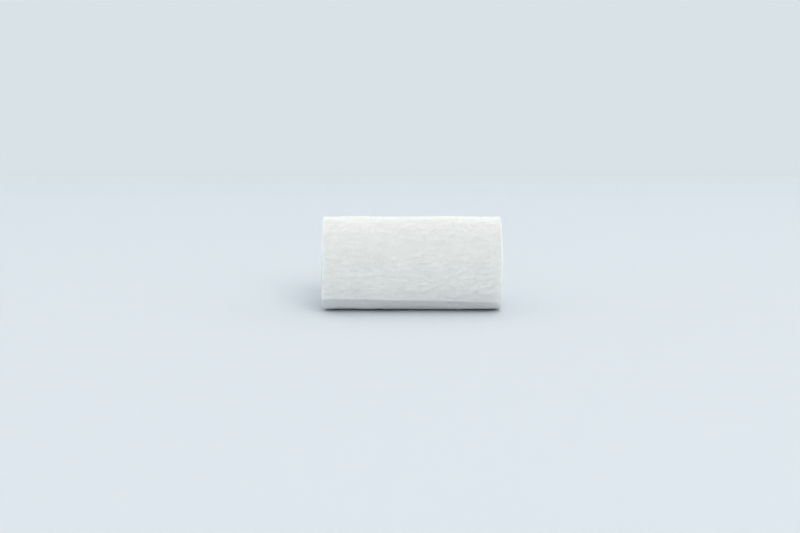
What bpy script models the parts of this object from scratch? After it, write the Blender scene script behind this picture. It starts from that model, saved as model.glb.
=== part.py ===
"""A rolled elastic gauze bandage lying on its side.

The bandage is one woven strip, wound on itself. It is one closed solid here, with the wound form at its
real size: the outer turn's lap with its cut end at the lower front, the sag and the flat spot where the
roll rests, and ends that are a little dished and uneven, with a spiral groove that marks the main turns.

The roll's axis runs along X. It stands on z = 0, and its box is centred on X and Y.
Angles are measured in the YZ plane, from +Y (the back) over +Z (the top) to -Y (the front).
"""
import math

import bmesh
import bpy

# Driving dimensions, in metres
STRIP_WIDTH = 0.060         # width of the woven strip, which is the length of the roll
OUTER_RADIUS = 0.0169       # from the axis to the outer turn's cut end
TAIL_ANGLE = math.radians(217)   # where the outer turn is cut off, 37 degrees below the front
TAIL_SKEW = math.radians(4)      # the cut slants: this much higher at the left rim, lower at the right
TAIL_BOW = math.radians(2)       # and it bows, so that both rims hang this much lower than the middle
TURN_STEP = 0.0004          # what one turn of the cloth adds to the radius
TAIL_STAND_OFF = 0.0006     # the cut end stands off by this much more
TAIL_LOOSE = 0.24           # share of the outer turn over which it does
LAP_BLEND = 0.15            # share of the radius over which the lap fades out on the ends
FLAT_WIDTH = 0.008          # what the roll's weight presses flat on the surface
SAG = 0.995                 # height of the section against a true spiral
RIM_RADIUS = 0.0007         # rounding of the outer turn's edges
MAIN_TURNS = 4              # main turns that the groove in each end shows
GROOVE_DEPTH = 0.0007
EYE_RADIUS = 0.0012         # the small eye that the first turns leave
EYE_DEPTH = 0.0012
LEFT_DISH = 0.0005          # the left end's middle lies this far in
RIGHT_DISH = -0.0003        # the right end's middle stands out, where the turns slid along
EDGE_STRAY = 0.0004         # the turns are not quite flush, so an end reaches this much past the strip
RIM_WANDER = 0.0002         # how far an edge wanders along the axis in one turn
WANDER_WAVES = 2            # how often it does
WANDER_OFFSET = 0.17        # in waves, the one end against the other
SWELL = 0.00012             # soft unevenness of the wound surface
SWELL_WAVES = ((3, 2.5), (5, -4.0))   # waves once round, and radians that each turns by to the rim

# Fineness of the mesh
COLUMNS_AROUND = 60
ROWS_PER_TURN = 5
ROWS_ALONG_SIDE = 8
MERGE_DISTANCE = 1e-6

COLLECTION_NAME = "gauze_bandage_roll"
NODE_NAME = "gauze_roll"
GAUZE_COLOUR = (0.87, 0.90, 0.90, 1.0)
GAUZE_ROUGHNESS = 0.9

LAP_STEP = TURN_STEP + TAIL_STAND_OFF
HALF_WIDTH = STRIP_WIDTH / 2
RIM_SHARE = 1 - RIM_RADIUS / OUTER_RADIUS
EYE_SHARE = EYE_RADIUS / OUTER_RADIUS


def clear_scene():
    for existing in list(bpy.data.objects):
        bpy.data.objects.remove(existing, do_unlink=True)


def gauze_material():
    material = bpy.data.materials.new("bleached_elastic_gauze")
    material.use_nodes = True
    shader = material.node_tree.nodes["Principled BSDF"]
    shader.inputs["Base Color"].default_value = GAUZE_COLOUR
    shader.inputs["Roughness"].default_value = GAUZE_ROUGHNESS
    shader.inputs["Metallic"].default_value = 0.0
    return material


def fade(value):
    """Rises softly from 0 to 1 as the value goes from 0 to 1."""
    value = min(max(value, 0.0), 1.0)
    return value * value * (3 - 2 * value)


def end_reach(side, share, turn):
    """How far an end face stands from the roll's middle.

    share is the distance from the axis as a share of the outline's radius there. turn runs from 0 just
    under the lap, once round the roll, to 1 at the outer turn's cut end.
    """
    dish = LEFT_DISH if side < 0 else RIGHT_DISH
    turns_from_rim = (1 - share) * MAIN_TURNS - (1 - turn)
    groove = GROOVE_DEPTH * 0.5 * (1 + math.cos(2 * math.pi * turns_from_rim)) * fade(share / EYE_SHARE)
    eye = EYE_DEPTH * (1 - fade(share / EYE_SHARE))
    wander = RIM_WANDER * math.sin(2 * math.pi * (WANDER_WAVES * turn + side * WANDER_OFFSET)) * share
    return HALF_WIDTH + EDGE_STRAY - dish * (1 - share * share) - groove - eye - wander


def section_point(share, turn, along):
    """A point of the wound section, at a place along the axis from -1 to 1, as (y, z)."""
    near_tail = (2 * turn - 1) ** 2
    cut = (TAIL_SKEW + TAIL_BOW * along) * along * near_tail
    angle = TAIL_ANGLE + cut + 2 * math.pi * turn
    swell = SWELL * sum(math.sin(waves * angle + twist * along) for waves, twist in SWELL_WAVES)
    rise = TURN_STEP * turn + TAIL_STAND_OFF * fade((turn - 1) / TAIL_LOOSE + 1)
    near_rim = fade((share - 1) / LAP_BLEND + 1)
    radius = share * (OUTER_RADIUS - LAP_STEP + swell) + rise * near_rim
    return radius * math.cos(angle), SAG * radius * math.sin(angle)


def profile():
    """The rows from the left eye over the rim and the side to the right eye, as (side, share, along).

    On an end, along is None and the row lies on the end face. On the side, share is 1 and along is the
    row's place between the two rims.
    """
    end_rows = MAIN_TURNS * ROWS_PER_TURN
    half_round = 1 - math.sqrt(0.5)
    shares = [RIM_SHARE * row / end_rows for row in range(end_rows + 1)]
    shares.append(1 - half_round * RIM_RADIUS / OUTER_RADIUS)
    left = [(-1, share, None) for share in shares]
    side = [(0, 1.0, 2 * row / ROWS_ALONG_SIDE - 1) for row in range(ROWS_ALONG_SIDE + 1)]
    right = [(1, share, None) for share in reversed(shares)]
    return left + side + right


def rim_drop(share):
    """How far the rounded rim falls back from the end face."""
    past_rim = max(0.0, share - RIM_SHARE) * OUTER_RADIUS
    return RIM_RADIUS - math.sqrt(max(0.0, RIM_RADIUS ** 2 - past_rim ** 2))


def roll_point(turn, row):
    side, share, along = row
    if along is None:
        x = side * (end_reach(side, share, turn) - rim_drop(share))
        along = side
    else:
        left = -end_reach(-1, 1.0, turn) + RIM_RADIUS
        right = end_reach(1, 1.0, turn) - RIM_RADIUS
        x = left + (right - left) * (along + 1) / 2
    y, z = section_point(share, turn, along)
    return x, y, z


def press_flat(bm):
    """Moves what lies lower than the flat spot up to its plane."""
    bottom_turn = (math.radians(270) - TAIL_ANGLE) / (2 * math.pi)
    bottom_radius = OUTER_RADIUS - LAP_STEP + TURN_STEP * bottom_turn
    flat_height = -SAG * math.sqrt(bottom_radius ** 2 - (FLAT_WIDTH / 2) ** 2)
    for vertex in bm.verts:
        vertex.co.z = max(vertex.co.z, flat_height)


def stand_on_surface(bm):
    """Centres the roll's box on X and Y, with its flat spot at z = 0."""
    xs = [vertex.co.x for vertex in bm.verts]
    ys = [vertex.co.y for vertex in bm.verts]
    lowest = min(vertex.co.z for vertex in bm.verts)
    middle = ((min(xs) + max(xs)) / 2, (min(ys) + max(ys)) / 2)
    bmesh.ops.translate(bm, verts=bm.verts, vec=(-middle[0], -middle[1], -lowest))


def wound_roll(collection):
    """Wraps a flat grid round the axis: its rows run from eye to eye and its columns once round.

    The last column but one is the lap's lip and the last one falls back on the first, so the strip of
    faces between them is the step at the cut end.
    """
    rows = profile()
    last_row = len(rows) - 1
    bm = bmesh.new()
    bmesh.ops.create_grid(bm, x_segments=COLUMNS_AROUND + 1, y_segments=last_row, size=0.5)
    for vertex in bm.verts:
        column = round((vertex.co.x + 0.5) * (COLUMNS_AROUND + 1))
        row = round((vertex.co.y + 0.5) * last_row)
        turn = 0.0 if column > COLUMNS_AROUND else column / COLUMNS_AROUND
        vertex.co = roll_point(turn, rows[row])
    bmesh.ops.remove_doubles(bm, verts=bm.verts, dist=MERGE_DISTANCE)
    press_flat(bm)
    stand_on_surface(bm)
    bmesh.ops.triangulate(bm, faces=bm.faces)
    bmesh.ops.recalc_face_normals(bm, faces=bm.faces)
    mesh = bpy.data.meshes.new(NODE_NAME)
    bm.to_mesh(mesh)
    bm.free()
    mesh.shade_smooth()
    roll = bpy.data.objects.new(NODE_NAME, mesh)
    roll.data.materials.append(gauze_material())
    collection.objects.link(roll)
    return roll


def main():
    clear_scene()
    collection = bpy.data.collections.new(COLLECTION_NAME)
    bpy.context.scene.collection.children.link(collection)
    wound_roll(collection)


main()
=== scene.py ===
import math

import bpy
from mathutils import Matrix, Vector


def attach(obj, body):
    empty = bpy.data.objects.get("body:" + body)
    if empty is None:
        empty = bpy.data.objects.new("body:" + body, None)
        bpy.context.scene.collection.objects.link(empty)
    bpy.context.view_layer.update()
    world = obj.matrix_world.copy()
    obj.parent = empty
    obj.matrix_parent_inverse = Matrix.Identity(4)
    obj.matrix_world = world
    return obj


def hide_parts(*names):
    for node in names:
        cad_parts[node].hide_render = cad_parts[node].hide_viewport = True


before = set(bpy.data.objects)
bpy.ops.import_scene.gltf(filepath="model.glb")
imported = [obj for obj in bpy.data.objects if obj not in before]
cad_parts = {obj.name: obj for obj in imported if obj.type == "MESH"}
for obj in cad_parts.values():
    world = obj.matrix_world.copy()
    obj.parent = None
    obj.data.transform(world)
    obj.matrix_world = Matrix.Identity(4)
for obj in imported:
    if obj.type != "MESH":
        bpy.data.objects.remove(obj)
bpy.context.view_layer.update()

mm = 0.001

# kinds of node that come up often
mathNode = "ShaderNodeMath"
vectorMath = "ShaderNodeVectorMath"
rangeNode = "ShaderNodeMapRange"
noiseNode = "ShaderNodeTexNoise"
joinNode = "ShaderNodeCombineXYZ"
splitNode = "ShaderNodeSeparateXYZ"
randomNode = "FunctionNodeRandomValue"
groupNode = "GeometryNodeGroup"


def hexToLinear(hexColour):
    channels = [int(hexColour[i:i + 2], 16) / 255 for i in (1, 3, 5)]
    linear = [c / 12.92 if c <= 0.04045 else ((c + 0.055) / 1.055) ** 2.4 for c in channels]
    return (*linear, 1.0)


def addNode(tree, kind, inputs=(), **settings):
    # inputs go by place in a list or by name in a dictionary; a value may be a node, a socket or a constant
    node = tree.nodes.new(kind)
    for name, value in settings.items():
        setattr(node, name, value)
    sockets = [socket for socket in node.inputs if socket.enabled]
    named = {socket.name: socket for socket in reversed(sockets)}
    chosen = inputs.items() if isinstance(inputs, dict) else enumerate(inputs)
    for key, value in chosen:
        socket = named[key] if isinstance(key, str) else sockets[key]
        if isinstance(value, bpy.types.Node):
            value = next(output for output in value.outputs if output.enabled)
        if isinstance(value, bpy.types.NodeSocket):
            tree.links.new(value, socket)
        else:
            socket.default_value = value
    return node


def addSwing(tree, noise, edge=0.3):
    # a noise seldom leaves the middle of its range, so what lies between edge and 1 - edge swings from -1 to 1
    return addNode(tree, rangeNode, {"Value": noise, "From Min": edge, "From Max": 1 - edge, "To Min": -1.0})


def newTree(name, numbers, counts=(), gives=(("Geometry", "NodeSocketGeometry"),)):
    # a tree with its named inputs and their usual values; returns it with the sockets of those inputs
    tree = bpy.data.node_groups.new(name, "GeometryNodeTree")
    for label, value in numbers.items():
        socket = tree.interface.new_socket(label, in_out="INPUT", socket_type="NodeSocketFloat")
        socket.default_value = value
    for label in counts:
        tree.interface.new_socket(label, in_out="INPUT", socket_type="NodeSocketInt")
    if gives[0][0] == "Geometry":
        tree.interface.new_socket("Material", in_out="INPUT", socket_type="NodeSocketMaterial")
    for label, kind in gives:
        tree.interface.new_socket(label, in_out="OUTPUT", socket_type=kind)
    return tree, tree.nodes.new("NodeGroupInput").outputs


def finishTree(tree, size, geometry, smooth):
    shaded = addNode(tree, "GeometryNodeSetShadeSmooth", {"Geometry": geometry, "Shade Smooth": smooth})
    real = addNode(tree, "GeometryNodeRealizeInstances", {"Geometry": shaded})
    finished = addNode(tree, "GeometryNodeSetMaterial", {"Geometry": real, "Material": size["Material"]})
    addNode(tree, "NodeGroupOutput", [finished])
    return tree


def growPiece(name, tree, form, material):
    # hangs the tree on a bare object, sets its named inputs and turns what it grows into a plain mesh
    host = bpy.data.objects.new(name + "_host", bpy.data.meshes.new(name + "_host"))
    bpy.context.scene.collection.objects.link(host)
    modifier = host.modifiers.new(name, "NODES")
    modifier.node_group = tree
    values = {**form, "Material": material}
    for item in tree.interface.items_tree:
        if item.in_out == "INPUT" and item.name in values:
            modifier[item.identifier] = values[item.name]
    evaluated = host.evaluated_get(bpy.context.evaluated_depsgraph_get())
    mesh = bpy.data.meshes.new_from_object(evaluated)
    mesh.name = name
    bpy.data.objects.remove(host)
    piece = bpy.data.objects.new(name, mesh)
    bpy.context.scene.collection.objects.link(piece)
    triangles = sum(len(face.vertices) - 2 for face in mesh.polygons)
    lowest = min(vertex.co.z for vertex in mesh.vertices)
    print(f"{name}: {triangles} triangles, lowest point {lowest / mm:.2f} mm")
    return piece


# The winding. Every piece below finds its place on the roll with one group: Turn counts turns back from the
# cut end, Across is the place in the strip's width, and Lift is the height above the middle of the cloth.
stripWidth = 60 * mm
warpCount = 108
warpPitch = stripWidth / warpCount
edgeLine = stripWidth / 2 - 0.2 * mm        # where the edge warps lie
winding = {
    "Outer Radius": 16.60 * mm,             # of the outer turn, at the cut end
    "Eye Radius": 0.38 * mm,
    "Turn Pitch": 0.395 * mm,               # what each turn adds to the radius
    "Loose Step": 0.60 * mm,                # the cut end stands off by this much more
    "Loose Over": 0.24,                     # and settles over this part of the outer turn
    "Tail Angle": math.radians(216.8),      # from the back over the top to 36.8 degrees below the front
    "Tail Slant": math.radians(4) / (stripWidth / 2),
    "Tail Bow": math.radians(2) / (stripWidth / 2) ** 2,
    "Sag": 0.995,
    "Flat Depth": 0.55 * mm,
    "Flat Edge": 0.90 * mm,
    "Axis Height": 15.46 * mm,
    "Axis Depth": 0.22 * mm,                # the loose end reaches forward, so the axis lies further back
    "Core Drift": 0.45 * mm,                # the first turns slid this far to the right
    "Core Squash": 0.30,                    # the first turns are wound flatter than round
    "Core Reach": 6.0 * mm,
    "Edge Wander": 0.40 * mm,               # how far an edge strays sideways in a turn or two
    "Edge Jitter": 0.14 * mm,
    "Lumps": 0.24 * mm,                     # slow unevenness that neighbouring turns share
    "Tightness": 0.06 * mm,                 # and what each turn differs from the next
    "Crinkle": 0.12 * mm,                   # short ribs across the strip, where its stretch yarns draw it in
    "Slack": 0.66 * mm,                     # how far the yarns stray from an even grid
}
straySpan = 2.6 * mm                        # over which they do
wandersPerTurn = 1.7                        # of an edge
jitterSpan = 3.5 * mm
# each kind of radial unevenness: its spans in mm along the axis and across it, the number of turns that look
# alike, and its detail
unevenness = {
    "Lumps": ((14, 11, 11), 9.0, 1.0),
    "Tightness": ((9, 6, 6), 0.9, 1.0),
    "Crinkle": ((5.5, 1.8, 1.8), 1.0, 2.0),
}
unevenEdge = 0.25
looseFree = winding["Outer Radius"] - winding["Loose Step"]
turnCount = (looseFree - winding["Eye Radius"]) / winding["Turn Pitch"]


def makeWindingGroup():
    tree, size = newTree("placeOnRoll", {"Turn": 0.0, "Across": 0.0, "Lift": 0.0, **winding},
                         gives=[("Position", "NodeSocketVector")])
    outerRadius, lift = size["Outer Radius"], size["Lift"]

    # the yarns stray a little in the cloth's own plane
    girth = addNode(tree, mathNode, [outerRadius, math.tau], operation="MULTIPLY")
    run = addNode(tree, mathNode, [size["Turn"], girth], operation="MULTIPLY")
    flatPlace = addNode(tree, joinNode, [run, size["Across"]])
    stray = addNode(tree, noiseNode, {"Vector": flatPlace, "Scale": 1 / straySpan, "Detail": 2.0})
    strayed = addNode(tree, vectorMath, [stray.outputs["Color"], (0.5, 0.5, 0.5)], operation="SUBTRACT")
    straySides = addNode(tree, splitNode, [strayed])
    slackTurn = addNode(tree, mathNode, [size["Slack"], girth], operation="DIVIDE")
    turn = addNode(tree, mathNode, [straySides.outputs["X"], slackTurn, size["Turn"]],
                   operation="MULTIPLY_ADD")
    across = addNode(tree, mathNode, [straySides.outputs["Y"], size["Slack"], size["Across"]],
                     operation="MULTIPLY_ADD")

    # angle round the axis, with the slant of the cut end fading out over the outer turn
    nearTail = addNode(tree, rangeNode, [turn, 0.0, 1.0, 1.0, 0.0])
    bow = addNode(tree, mathNode, [across, size["Tail Bow"], size["Tail Slant"]], operation="MULTIPLY_ADD")
    slant = addNode(tree, mathNode, [across, bow], operation="MULTIPLY")
    slantNear = addNode(tree, mathNode, [slant, nearTail], operation="MULTIPLY")
    start = addNode(tree, mathNode, [slantNear, nearTail, size["Tail Angle"]], operation="MULTIPLY_ADD")
    angle = addNode(tree, mathNode, [turn, -math.tau, start], operation="MULTIPLY_ADD")
    cosine = addNode(tree, mathNode, [angle], operation="COSINE")
    sine = addNode(tree, mathNode, [angle], operation="SINE")

    settled = addNode(tree, rangeNode, [turn, 0.0, size["Loose Over"], 0.0, size["Loose Step"]],
                      interpolation_type="SMOOTHSTEP")
    woundOff = addNode(tree, mathNode, [turn, size["Turn Pitch"], settled], operation="MULTIPLY_ADD")
    plainRadius = addNode(tree, mathNode, [outerRadius, woundOff], operation="SUBTRACT")
    plainY = addNode(tree, mathNode, [plainRadius, cosine], operation="MULTIPLY")
    plainZ = addNode(tree, mathNode, [plainRadius, sine], operation="MULTIPLY")
    place = addNode(tree, joinNode, [across, plainY, plainZ])

    # radial unevenness: a noise in space that changes with the turns, so neighbours look alike
    uneven = lift
    for height, (spans, turnsAlike, detail) in unevenness.items():
        perSpan = [1 / (span * mm) for span in spans]
        spot = addNode(tree, vectorMath, [place, perSpan], operation="MULTIPLY")
        older = addNode(tree, mathNode, [turn, turnsAlike], operation="DIVIDE")
        noise = addNode(tree, noiseNode, {"Vector": spot, "W": older, "Scale": 1.0, "Detail": detail},
                        noise_dimensions="4D")
        swing = addSwing(tree, noise, unevenEdge)
        uneven = addNode(tree, mathNode, [swing, size[height], uneven], operation="MULTIPLY_ADD")
    radius = addNode(tree, mathNode, [plainRadius, uneven], operation="ADD")
    evenRadius = addNode(tree, mathNode, [plainRadius, lift], operation="ADD")

    # the section: flatter than round at the core, sagged, and pressed flat where it rests
    core = addNode(tree, rangeNode, [plainRadius, 0.0, size["Core Reach"], size["Core Squash"], 0.0],
                   interpolation_type="SMOOTHSTEP")
    wider = addNode(tree, mathNode, [1.0, core], operation="ADD")
    lower = addNode(tree, mathNode, [size["Sag"], core], operation="SUBTRACT")
    roundY = addNode(tree, mathNode, [radius, cosine], operation="MULTIPLY")
    roundZ = addNode(tree, mathNode, [radius, sine], operation="MULTIPLY")
    sectionY = addNode(tree, mathNode, [roundY, wider, size["Axis Depth"]], operation="MULTIPLY_ADD")
    sectionZ = addNode(tree, mathNode, [roundZ, lower], operation="MULTIPLY")
    share = addNode(tree, mathNode, [evenRadius, outerRadius], operation="DIVIDE")
    shareSquared = addNode(tree, mathNode, [share, share], operation="MULTIPLY")
    pressed = addNode(tree, mathNode, [shareSquared, size["Flat Depth"]], operation="MULTIPLY")
    unpressed = addNode(tree, mathNode, [evenRadius, lower], operation="MULTIPLY")
    flat = addNode(tree, mathNode, [pressed, unpressed], operation="SUBTRACT")
    restingZ = addNode(tree, mathNode, [sectionZ, flat, size["Flat Edge"]], operation="SMOOTH_MAX")
    height = addNode(tree, mathNode, [restingZ, size["Axis Height"]], operation="ADD")

    # the edges: each turn lies a little to one side of the next
    drift = addNode(tree, mathNode, [0.5, shareSquared], operation="SUBTRACT")
    sideways = addNode(tree, mathNode, [drift, size["Core Drift"], across], operation="MULTIPLY_ADD")
    wander = addNode(tree, noiseNode, {"W": turn, "Scale": wandersPerTurn, "Detail": 3.0, "Roughness": 0.6},
                     noise_dimensions="1D")
    jitter = addNode(tree, noiseNode, {"Vector": flatPlace, "Scale": 1 / jitterSpan, "Detail": 2.0})
    for noise, reach in ((wander, "Edge Wander"), (jitter, "Edge Jitter")):
        swing = addSwing(tree, noise)
        sideways = addNode(tree, mathNode, [swing, size[reach], sideways], operation="MULTIPLY_ADD")
    position = addNode(tree, joinNode, [sideways, sectionY, height])
    addNode(tree, "NodeGroupOutput", [position])
    return tree


stepCrowding = 1.25


def turnAtShare(tree, size, share):
    # equal shares of the turns would be coarse at the outer turns, so the power makes their steps finer
    reach = addNode(tree, mathNode, [size["End Turn"], size["Start Turn"]], operation="SUBTRACT")
    crowded = addNode(tree, mathNode, [share, stepCrowding], operation="POWER")
    return addNode(tree, mathNode, [crowded, reach, size["Start Turn"]], operation="MULTIPLY_ADD")


def lengthAtTurn(tree, turn):
    # length from the cut end: pi times the turns so far times their mean diameter
    woundOff = addNode(tree, mathNode, [turn, winding["Turn Pitch"]], operation="MULTIPLY")
    meanDiameter = addNode(tree, mathNode, [2 * looseFree, woundOff], operation="SUBTRACT")
    turnLength = addNode(tree, mathNode, [meanDiameter, math.pi], operation="MULTIPLY")
    return addNode(tree, mathNode, [turnLength, turn], operation="MULTIPLY")


windingGroup = makeWindingGroup()


# Bleached cotton and viscose yarn: its fibres scatter the light every way, which gives a matte and nearly
# pure white
yarnFinish = {
    "light": "#FCFCFA",
    "dark": "#F4F4F2",
    "roughness": 0.9,
    "mottle": 6 * mm,
}


def makeYarnMaterial():
    material = bpy.data.materials.new("bleachedCrepeYarn")
    material.use_nodes = True
    tree = material.node_tree
    tree.nodes.clear()
    place = addNode(tree, "ShaderNodeTexCoord").outputs["Object"]
    mottle = addNode(tree, noiseNode, {"Vector": place, "Scale": 1 / yarnFinish["mottle"], "Detail": 4.0})
    colour = addNode(tree, "ShaderNodeMix", {
        "Factor": mottle, "A": hexToLinear(yarnFinish["light"]), "B": hexToLinear(yarnFinish["dark"])},
        data_type="RGBA")
    shader = addNode(tree, "ShaderNodeBsdfPrincipled", {
        "Base Color": colour, "Roughness": yarnFinish["roughness"]})
    addNode(tree, "ShaderNodeOutputMaterial", {"Surface": shader})
    return material


# The same gauze as a whole layer, for the turns below: soft rows of yarn with painted shade in the gaps between
# them,
# # greyer where the holes between the yarns would be shaded, which the eye sees between the outer yarns and on
# the strip under the cut end
layerFinish = {
    "yarn": "#F8F8F6",
    # painted shade for the holes between the yarns
    "paintedGapShade": "#DDE0DE",
    "roughness": 0.9,
    "weftPitch": 0.40 * mm,
    "waver": 0.8,
    "relief": 0.12 * mm,
    "reliefStrength": 0.6,
}


def makeLayerMaterial():
    material = bpy.data.materials.new("bleachedGauzeLayer")
    material.use_nodes = True
    tree = material.node_tree
    tree.nodes.clear()
    cloth = addNode(tree, "ShaderNodeAttribute", attribute_name="stripMap").outputs["Vector"]
    rows = []
    for pitch, side in ((layerFinish["weftPitch"], "X"), (warpPitch, "Y")):
        # a wave texture's bands repeat every tau / 20 of its scaled input
        rows.append(addNode(tree, "ShaderNodeTexWave", {
            "Vector": cloth, "Scale": math.tau / 20 / pitch, "Distortion": layerFinish["waver"], "Detail": 1.0},
            bands_direction=side))
    weave = addNode(tree, mathNode, rows, operation="MAXIMUM")
    # the weave mask mixes painted gap shade into the yarn white between the rows; the same mask drives the bump
    colour = addNode(tree, "ShaderNodeMix", {
        "Factor": weave, "A": hexToLinear(layerFinish["paintedGapShade"]), "B": hexToLinear(layerFinish["yarn"])},
        data_type="RGBA")
    bump = addNode(tree, "ShaderNodeBump", {
        "Strength": layerFinish["reliefStrength"], "Distance": layerFinish["relief"], "Height": weave})
    shader = addNode(tree, "ShaderNodeBsdfPrincipled", {
        "Base Color": colour, "Roughness": layerFinish["roughness"], "Normal": bump})
    addNode(tree, "ShaderNodeOutputMaterial", {"Surface": shader})
    return material


yarnMaterial = makeYarnMaterial()
layerMaterial = makeLayerMaterial()

# The strip under the outer turn: one fine turn that shows between the outer yarns, then all the rest
layers = {
    "turn_below": {"Start Turn": 0.985, "End Turn": 2.03, "Length Steps": 260, "Cross Steps": 34},
    "wound_strip": {"Start Turn": 2.0, "End Turn": turnCount, "Length Steps": 1800, "Cross Steps": 9},
}
layerWidth = stripWidth - 0.5 * mm          # so the layers end inside the edge cords
clothThickness = 0.30 * mm


def makeLayerTree():
    tree, size = newTree("windLayer", {"Width": 0.0, "Start Turn": 0.0, "End Turn": 0.0},
                         ["Length Steps", "Cross Steps"])
    grid = addNode(tree, "GeometryNodeMeshGrid",
                   [1.0, size["Width"], size["Length Steps"], size["Cross Steps"]])
    place = addNode(tree, splitNode, [addNode(tree, "GeometryNodeInputPosition")])
    share = addNode(tree, mathNode, [place.outputs["X"], 0.5], operation="ADD", use_clamp=True)
    turn = turnAtShare(tree, size, share)
    cloth = addNode(tree, joinNode, [lengthAtTurn(tree, turn), place.outputs["Y"]])
    mapped = addNode(tree, "GeometryNodeStoreNamedAttribute",
                     {"Geometry": grid, "Name": "stripMap", "Value": cloth},
                     data_type="FLOAT2", domain="CORNER")
    wound = addNode(tree, groupNode, {"Turn": turn, "Across": place.outputs["Y"]}, node_tree=windingGroup)
    moved = addNode(tree, "GeometryNodeSetPosition", {"Geometry": mapped, "Position": wound})
    return finishTree(tree, size, moved, smooth=True)


layerTree = makeLayerTree()
turnBelow, stripPiece = [growPiece(name, layerTree, {**form, "Width": layerWidth}, layerMaterial)
                         for name, form in layers.items()]
thicken = stripPiece.modifiers.new("thickness", "SOLIDIFY")
thicken.thickness = clothThickness
thicken.offset = 0.0


def layThreads(tree, first, last, steps, count, offset):
    # straight threads side by side in the flat cloth, from first to last, each one offset from the one before
    line = addNode(tree, "GeometryNodeCurvePrimitiveLine", [first, last])
    stepped = addNode(tree, "GeometryNodeResampleCurve", {"Curve": line, "Count": steps})
    rows = addNode(tree, "GeometryNodeMeshLine", {"Count": count, "Offset": offset})
    laid = addNode(tree, "GeometryNodeInstanceOnPoints", {"Points": rows, "Instance": stepped})
    threads = addNode(tree, "GeometryNodeRealizeInstances", {"Geometry": laid})
    place = addNode(tree, splitNode, [addNode(tree, "GeometryNodeInputPosition")])
    return threads, place.outputs["X"], place.outputs["Y"], place.outputs["Z"]


slubSpan = 1.2 * mm


def spinYarn(tree, size, threads, turn, across, lift, thickness, sides=5, slub=0.28):
    # places the threads on the roll and gives them their section, which slub makes thicker and thinner
    # the thickness is stored first, while a thread's place in the flat cloth still tells which one it is
    sized = addNode(tree, "GeometryNodeSetCurveRadius", {"Curve": threads, "Radius": thickness})
    wound = addNode(tree, groupNode, {"Turn": turn, "Across": across, "Lift": lift}, node_tree=windingGroup)
    moved = addNode(tree, "GeometryNodeSetPosition", {"Geometry": sized, "Position": wound})
    noise = addNode(tree, noiseNode, {"Scale": 1 / slubSpan, "Detail": 1.0})
    uneven = addNode(tree, rangeNode, {"Value": noise, "From Min": 0.3, "From Max": 0.7,
                                       "To Min": 1 - slub, "To Max": 1 + slub})
    stored = addNode(tree, "GeometryNodeInputRadius")
    scale = addNode(tree, mathNode, [uneven, stored], operation="MULTIPLY")
    section = addNode(tree, "GeometryNodeCurvePrimitiveCircle", {"Resolution": sides, "Radius": 1.0})
    tubes = addNode(tree, "GeometryNodeCurveToMesh",
                    {"Curve": moved, "Profile Curve": section, "Scale": scale, "Fill Caps": True})
    return finishTree(tree, size, tubes, smooth=False)


# The outer turn, yarn by yarn. In the flat cloth X counts wefts from the cut end and Y counts warps.
weave = {
    "wefts": 256,                           # in one turn
    "overlap": 3,                           # the warps run on by this many wefts before and after it
    "Warp Radius": 0.080 * mm,
    "Thin Warp": 0.22,                      # every other warp is a stretch yarn, thinner by this share
    "Warp Crimp": 0.12 * mm,
    "Warp Sway": 0.13 * mm,
    "swaysPerPick": 0.4,
    "swaysPerRow": 7.3,                     # far more, so neighbours sway each in their own way
    "Weft Radius": 0.110 * mm,
    "Weft Crimp": 0.07 * mm,
    "Shortest End": 0.15,                   # cut ends past the last weft, against the overlap's length
    "Longest End": 0.75,
    "End Curl": 0.10 * mm,
    "Seed": 11,
}


def overAndUnder(tree, pick, row, crimp):
    # plain weave: over where the weft's number and the warp's add up to an even one, under where odd
    both = addNode(tree, mathNode, [pick, row], operation="ADD")
    swing = addNode(tree, mathNode, [both, math.pi], operation="MULTIPLY")
    wave = addNode(tree, mathNode, [swing], operation="COSINE")
    return addNode(tree, mathNode, [wave, crimp], operation="MULTIPLY")


def acrossOfRow(tree, row):
    fromMiddle = addNode(tree, mathNode, [row, (warpCount - 1) / 2], operation="SUBTRACT")
    return addNode(tree, mathNode, [fromMiddle, warpPitch], operation="MULTIPLY")


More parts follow.
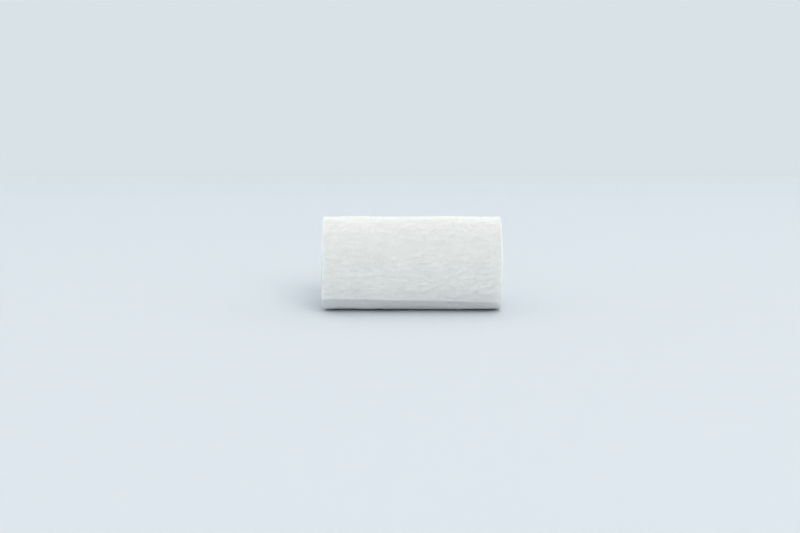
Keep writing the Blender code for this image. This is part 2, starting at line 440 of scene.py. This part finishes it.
def makeWarpTree():
    tree, size = newTree("outerWarps", {
        "Warp Radius": 0.0, "Thin Warp": 0.0, "Warp Crimp": 0.0, "Warp Sway": 0.0, "Shortest End": 0.0,
        "Longest End": 0.0, "End Curl": 0.0}, ["Count", "First", "Seed"])
    overlap = weave["overlap"]
    reach = weave["wefts"] + overlap
    threads, pick, y, _ = layThreads(tree, (-overlap, 0, 0), (reach, 0, 0), reach + overlap + 1,
                                     size["Count"], (0, 1, 0))
    row = addNode(tree, mathNode, [y, size["First"]], operation="ADD")
    rowNumber = addNode(tree, "FunctionNodeFloatToInt", [row])

    # past the last weft each end is as long as it was cut, and curls a little
    onCloth = addNode(tree, mathNode, [pick, 0.0], operation="MAXIMUM")
    beyond = addNode(tree, mathNode, [pick, 0.0], operation="MINIMUM")
    cut = addNode(tree, randomNode, {"Min": size["Shortest End"], "Max": size["Longest End"],
                                     "ID": rowNumber, "Seed": size["Seed"]})
    pickCut = addNode(tree, mathNode, [beyond, cut, onCloth], operation="MULTIPLY_ADD")
    turn = addNode(tree, mathNode, [pickCut, weave["wefts"]], operation="DIVIDE")
    crimped = overAndUnder(tree, pick, row, size["Warp Crimp"])
    curl = addNode(tree, mathNode, [beyond, size["End Curl"]], operation="MULTIPLY")
    curlLift = addNode(tree, mathNode, [curl, cut], operation="MULTIPLY")
    lift = addNode(tree, mathNode, [crimped, curlLift], operation="SUBTRACT")

    swayPlace = addNode(tree, mathNode, [pick, weave["swaysPerPick"]], operation="MULTIPLY")
    swayRow = addNode(tree, mathNode, [row, weave["swaysPerRow"]], operation="MULTIPLY")
    swayAt = addNode(tree, joinNode, [swayPlace, swayRow])
    sway = addNode(tree, noiseNode, {"Vector": swayAt, "Scale": 1.0, "Detail": 2.0})
    across = addNode(tree, mathNode, [addSwing(tree, sway), size["Warp Sway"], acrossOfRow(tree, row)],
                     operation="MULTIPLY_ADD")

    odd = addNode(tree, mathNode, [row, 2.0], operation="FLOORED_MODULO")
    thinner = addNode(tree, mathNode, [odd, size["Thin Warp"]], operation="MULTIPLY")
    share = addNode(tree, mathNode, [1.0, thinner], operation="SUBTRACT")
    thickness = addNode(tree, mathNode, [share, size["Warp Radius"]], operation="MULTIPLY")
    return spinYarn(tree, size, threads, turn, across, lift, thickness)


def makeWeftTree():
    tree, size = newTree("outerWefts", {"Weft Radius": 0.0, "Weft Crimp": 0.0}, ["Count", "First"])
    threads, x, row, _ = layThreads(tree, (0, 0, 0), (0, warpCount - 1, 0), warpCount,
                                    size["Count"], (1, 0, 0))
    pick = addNode(tree, mathNode, [x, size["First"]], operation="ADD")
    under = addNode(tree, mathNode, [size["Weft Crimp"], -1.0], operation="MULTIPLY")
    lift = overAndUnder(tree, pick, row, under)
    turn = addNode(tree, mathNode, [pick, weave["wefts"]], operation="DIVIDE")
    return spinYarn(tree, size, threads, turn, acrossOfRow(tree, row), lift, size["Weft Radius"])


warpTree, weftTree = makeWarpTree(), makeWeftTree()
halfWarps = warpCount // 2
halfWefts = (weave["wefts"] + weave["overlap"] + 1) // 2
yarns = []
for side, first in (("left", 0), ("right", halfWarps)):
    form = {**weave, "Count": halfWarps, "First": first}
    yarns.append(growPiece(f"outer_warps_{side}", warpTree, form, yarnMaterial))
for part, first in (("front", 0), ("back", halfWefts)):
    form = {**weave, "Count": halfWefts, "First": first}
    yarns.append(growPiece(f"outer_wefts_{part}", weftTree, form, yarnMaterial))

# The two edges of every turn: a firm edge warp, and the weft that turns back round it every two picks or so
selvedge = {
    "Cord Radius": 0.13 * mm,
    "cordSteps": 2600,
    "Loop Pitch": 1.0 * mm,
    "Loop Width": 0.20 * mm,
    "Loop Height": 0.14 * mm,
    "Loop Radius": 0.055 * mm,
    "loopSteps": 11500,
}


def layEdges(tree, size, steps):
    # one thread along each edge of the whole strip: X is the share of its length, Y is -1 or 1 for the side
    threads, share, side, _ = layThreads(tree, (0, -1, 0), (1, -1, 0), steps, 2, (0, 2, 0))
    turn = turnAtShare(tree, size, share)
    return threads, side, turn, lengthAtTurn(tree, turn)


def makeCordTree():
    tree, size = newTree("edgeCords", {"Start Turn": 0.0, "End Turn": turnCount, "Cord Radius": 0.0})
    threads, side, turn, _ = layEdges(tree, size, selvedge["cordSteps"])
    across = addNode(tree, mathNode, [side, edgeLine], operation="MULTIPLY")
    return spinYarn(tree, size, threads, turn, across, 0.0, size["Cord Radius"])


def makeLoopTree():
    tree, size = newTree("edgeLoops", {
        "Start Turn": 0.0, "End Turn": turnCount, "Loop Pitch": 0.0, "Loop Width": 0.0, "Loop Height": 0.0,
        "Loop Radius": 0.0})
    threads, side, turn, length = layEdges(tree, size, selvedge["loopSteps"])
    loops = addNode(tree, mathNode, [length, size["Loop Pitch"]], operation="DIVIDE")
    swing = addNode(tree, mathNode, [loops, math.tau], operation="MULTIPLY")
    outward = addNode(tree, mathNode, [swing], operation="COSINE")
    upward = addNode(tree, mathNode, [swing], operation="SINE")
    lift = addNode(tree, mathNode, [upward, size["Loop Height"]], operation="MULTIPLY")
    reach = addNode(tree, mathNode, [outward, size["Loop Width"], edgeLine], operation="MULTIPLY_ADD")
    across = addNode(tree, mathNode, [reach, side], operation="MULTIPLY")
    return spinYarn(tree, size, threads, turn, across, lift, size["Loop Radius"], sides=3)


edges = [growPiece("edge_cords", makeCordTree(), selvedge, yarnMaterial),
         growPiece("edge_loops", makeLoopTree(), selvedge, yarnMaterial)]

# Loose fibres that stand off the outer turn
fuzz = {
    "Fibre Count": 2000,
    "Fibre Length": 1.1 * mm,
    "Fibre Height": 0.22 * mm,
    "Fibre Radius": 0.018 * mm,
    "Root Lift": 0.12 * mm,                 # they leave the yarns at this height
    "Shortest": 0.4,                        # against the usual length
    "Longest": 1.5,
    "Seed": 5,
    "middle": (0.5, 0.2, 2.0),              # where the bow is drawn to, against its length and height
    "tip": (1.0, 0.0, 0.4),
}


def makeFuzzTree():
    tree, size = newTree("looseFibres", {
        "Fibre Length": 0.0, "Fibre Height": 0.0, "Fibre Radius": 0.0, "Root Lift": 0.0, "Shortest": 0.0,
        "Longest": 0.0}, ["Fibre Count", "Seed"])
    girth = math.tau * winding["Outer Radius"]
    fibre = addNode(tree, "GeometryNodeCurveQuadraticBezier",
                    {"Resolution": 4, "Start": (0, 0, 0), "Middle": fuzz["middle"], "End": fuzz["tip"]})
    points = addNode(tree, "GeometryNodeMeshLine", {"Count": size["Fibre Count"]})
    spread = addNode(tree, randomNode,
                     {"Min": (0, -edgeLine, 0), "Max": (girth, edgeLine, 0), "Seed": size["Seed"]},
                     data_type="FLOAT_VECTOR")
    scattered = addNode(tree, "GeometryNodeSetPosition", {"Geometry": points, "Position": spread})
    turned = addNode(tree, randomNode, {"Min": (0, 0, 0), "Max": (0, 0, math.tau), "Seed": size["Seed"]},
                     data_type="FLOAT_VECTOR")
    longness = addNode(tree, randomNode,
                       {"Min": size["Shortest"], "Max": size["Longest"], "Seed": size["Seed"]})
    length = addNode(tree, mathNode, [longness, size["Fibre Length"]], operation="MULTIPLY")
    scale = addNode(tree, joinNode, [length, length, size["Fibre Height"]])
    laid = addNode(tree, "GeometryNodeInstanceOnPoints",
                   {"Points": scattered, "Instance": fibre, "Rotation": turned, "Scale": scale})
    threads = addNode(tree, "GeometryNodeRealizeInstances", {"Geometry": laid})
    place = addNode(tree, splitNode, [addNode(tree, "GeometryNodeInputPosition")])
    turn = addNode(tree, mathNode, [place.outputs["X"], girth], operation="DIVIDE", use_clamp=True)
    lift = addNode(tree, mathNode, [place.outputs["Z"], size["Root Lift"]], operation="ADD")
    return spinYarn(tree, size, threads, turn, place.outputs["Y"], lift, size["Fibre Radius"],
                    sides=3, slub=0.0)


fibres = growPiece("loose_fibres", makeFuzzTree(), fuzz, yarnMaterial)

dressing = [turnBelow, *yarns, *edges, fibres]
for piece in [stripPiece, *dressing]:
    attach(piece, "root")
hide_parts("gauze_roll")
print(f"roll: {1 + len(dressing)} pieces")

# The studio: a pale paper floor that turns up into the glowing cloth walls of a light tent
studio = {
    "paper": "#D3DAE1",
    "tent": "#D9E2E6",
    "roughness": 0.75,
    "softness": 6 * mm,                     # how far light spreads in the paper, which softens the shadow
    "behind": 0.305,
    "front": -3.60,
    "side": 0.80,
    "planCorner": 0.25,
    "floorCorner": 0.046,
    "clothFrom": 0.0095,                    # height at which the bend has become tent cloth
    "wall": 0.32,
    "around": 64,
    "bendSteps": 12,
}


def ringOfPlan(inset, height):
    # one level of the tent's rounded plan, drawn in from the walls by the inset
    corner = studio["planCorner"]
    middle = (studio["behind"] + studio["front"]) / 2
    halfX, halfY = studio["side"] - corner, (studio["behind"] - studio["front"]) / 2 - corner
    ring = []
    for step in range(studio["around"]):
        angle = math.tau * (step + 0.5) / studio["around"]
        x = math.copysign(halfX, math.cos(angle)) + (corner - inset) * math.cos(angle)
        y = math.copysign(halfY, math.sin(angle)) + (corner - inset) * math.sin(angle)
        ring.append((x, middle + y, height))
    return ring


def makeStudioMaterial():
    # matte paper below; up the bend it goes over into tent cloth that is lit from outside
    material = bpy.data.materials.new("paperAndTentCloth")
    material.use_nodes = True
    tree = material.node_tree
    tree.nodes.clear()
    place = addNode(tree, splitNode, [addNode(tree, "ShaderNodeTexCoord").outputs["Object"]])
    cloth = addNode(tree, rangeNode, {"Value": place.outputs["Z"], "From Max": studio["clothFrom"]},
                    interpolation_type="SMOOTHSTEP")
    paper = addNode(tree, "ShaderNodeMix", {
        "Factor": cloth, "A": hexToLinear(studio["paper"]), "B": (0.0, 0.0, 0.0, 1.0)}, data_type="RGBA")
    shader = addNode(tree, "ShaderNodeBsdfPrincipled", {
        "Base Color": paper, "Roughness": studio["roughness"], "Specular IOR Level": 0.0,
        "Subsurface Weight": 1.0, "Subsurface Radius": (1.0, 1.0, 1.0),
        "Subsurface Scale": studio["softness"],
        "Emission Color": hexToLinear(studio["tent"]), "Emission Strength": cloth})
    addNode(tree, "ShaderNodeOutputMaterial", {"Surface": shader})
    return material


def makeStage():
    around, bend, steps = studio["around"], studio["floorCorner"], studio["bendSteps"]
    quarter = [math.pi / 2 * step / steps for step in range(steps + 1)]
    rings = [ringOfPlan(bend * (1 - math.sin(a)), bend * (1 - math.cos(a))) for a in quarter]
    rings.append(ringOfPlan(0.0, studio["wall"]))
    faces = [tuple(range(around))]
    for ring in range(len(rings) - 1):
        for step in range(around):
            a, b = ring * around + step, ring * around + (step + 1) % around
            faces.append((b, a, a + around, b + around))
    mesh = bpy.data.meshes.new("paper_and_tent")
    mesh.from_pydata([corner for ring in rings for corner in ring], [], faces)
    mesh.shade_smooth()
    mesh.materials.append(makeStudioMaterial())
    stage = bpy.data.objects.new("paper_and_tent", mesh)
    bpy.context.scene.collection.objects.link(stage)


makeStage()
print(f"studio: wall {studio['behind']:.3f} m behind the roll, {studio['wall']:.2f} m high")

# One large lamp to the upper right of the camera, and an even sky over the open tent
key = {
    "place": (0.90, -2.60, 2.02),
    "aim": (0, 0, 15 * mm),
    "size": 1.6,
    "watts": 43,
    "colour": "#FFFDFA",
    "sky": "#FAFEFF",
    "skyStrength": 0.82,
}
light = bpy.data.lights.new("key", "AREA")
light.shape = "SQUARE"
light.size = key["size"]
light.energy = key["watts"]
light.color = hexToLinear(key["colour"])[:3]
lamp = bpy.data.objects.new("key", light)
lamp.location = key["place"]
lamp.rotation_euler = (Vector(key["aim"]) - lamp.location).to_track_quat("-Z", "Y").to_euler()
bpy.context.scene.collection.objects.link(lamp)

world = bpy.data.worlds.new("even_sky")
world.use_nodes = True
sky = world.node_tree.nodes["Background"].inputs
sky["Color"].default_value = hexToLinear(key["sky"])
sky["Strength"].default_value = key["skyStrength"]
bpy.context.scene.world = world
bpy.context.scene.view_settings.view_transform = "Standard"
print(f"light: one lamp of {key['watts']:.0f} W, sky at {key['skyStrength']:.2f}")

# The camera: a long lens a little above the roll, which lies right of the picture's middle
view = {
    "lens": 85.0,
    "distance": 0.643,
    "elevation": math.radians(10.5),
    "imageWidth": 800,
    "imageHeight": 533,
    "rollPixel": (412, 262.8),
    "aim": (0, 0, 15.6 * mm),
}
cameraData = bpy.data.cameras.new("camera")
cameraData.lens = view["lens"]
cameraData.clip_start = 0.01
cameraData.shift_x = (view["imageWidth"] / 2 - view["rollPixel"][0]) / view["imageWidth"]
cameraData.shift_y = (view["rollPixel"][1] - view["imageHeight"] / 2) / view["imageWidth"]
camera = bpy.data.objects.new("camera", cameraData)
tilt = view["elevation"]
camera.location = Vector(view["aim"]) + view["distance"] * Vector((0, -math.cos(tilt), math.sin(tilt)))
camera.rotation_euler = (math.pi / 2 - tilt, 0, 0)
bpy.context.scene.collection.objects.link(camera)
bpy.context.scene.camera = camera
print(f"camera: {view['lens']:.0f} mm lens, {view['distance']:.3f} m from the roll")
